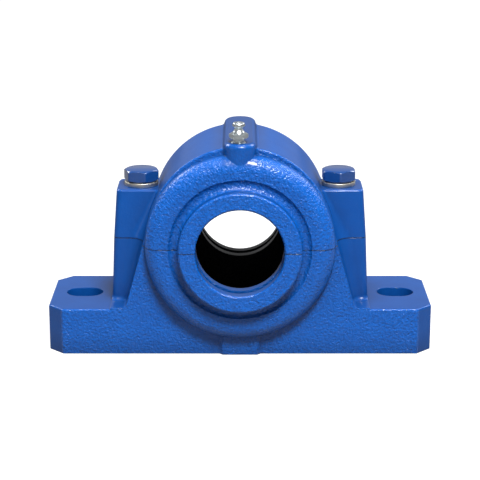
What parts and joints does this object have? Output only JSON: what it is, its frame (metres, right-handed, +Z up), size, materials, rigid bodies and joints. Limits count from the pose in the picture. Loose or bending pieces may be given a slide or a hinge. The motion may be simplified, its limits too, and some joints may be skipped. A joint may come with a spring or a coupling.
{
  "type": "split plummer block housing",
  "caption": "Split pillow-block housing: slotted foot, round barrel with a through bore and empty bearing seat, bolted cap, grease nipple on the crown.",
  "frame": {"origin": "middle of the foot's underside, below the shaft axis", "axes": "+X along the foot from bolt to bolt, +Y along the shaft, away from the side with the grease nipple, +Z up"},
  "size_m": [0.205, 0.09, 0.1265],
  "materials": {
    "painted_casting": "glossy blue enamel over as-cast iron, machined faces painted too",
    "painted_bolt": "glossy blue enamel over steel",
    "washer_steel": "bare rolled spring steel",
    "dowel_steel": "ground steel",
    "nipple_zinc": "bright zinc plate over steel",
    "ball_steel": "polished steel ball",
    "spring_steel": "drawn spring wire"
  },
  "bodies": {
    "housing_base": {"base": "painted_casting", "dowel_pin_left": "dowel_steel", "dowel_pin_right": "dowel_steel"},
    "housing_cap": {"cap": "painted_casting", "grease_nipple": "nipple_zinc", "nipple_spring": "spring_steel"},
    "washer_left": {"spring_washer_left": "washer_steel"},
    "washer_right": {"spring_washer_right": "washer_steel"},
    "bolt_left": {"cap_bolt_left": "painted_bolt"},
    "bolt_right": {"cap_bolt_right": "painted_bolt"},
    "check_ball": {"nipple_ball": "ball_steel"}
  },
  "joints": [
    {"name": "cap_lift", "type": "slide", "parent": "housing_base", "child": "housing_cap", "axis": [0, 0, 1], "range_m": [0, 0.08]},
    {"name": "washer_rise_left", "type": "slide", "parent": "housing_cap", "child": "washer_left", "axis": [0, 0, 1], "range_m": [0, 0.0217]},
    {"name": "bolt_turn_left", "type": "hinge", "parent": "washer_left", "child": "bolt_left", "pos_m": [-0.053, 0, 0.0882], "axis": [0, 0, 1], "range_deg": [0, 5220]},
    {"name": "washer_rise_right", "type": "slide", "parent": "housing_cap", "child": "washer_right", "axis": [0, 0, 1], "range_m": [0, 0.0217]},
    {"name": "bolt_turn_right", "type": "hinge", "parent": "washer_right", "child": "bolt_right", "pos_m": [0.053, 0, 0.0882], "axis": [0, 0, 1], "range_deg": [0, 5220]},
    {"name": "ball_press", "type": "slide", "parent": "housing_cap", "child": "check_ball", "axis": [0, 0, -1], "range_m": [0, 0.0008], "stiffness_N_per_m": 200, "springref_m": -0.002, "deforming": ["nipple_spring"]}
  ],
  "couplings": [
    {"joint": "bolt_turn_left", "follows": "washer_rise_left", "rad_per_m": 4188.8},
    {"joint": "bolt_turn_right", "follows": "washer_rise_right", "rad_per_m": 4188.8}
  ]
}
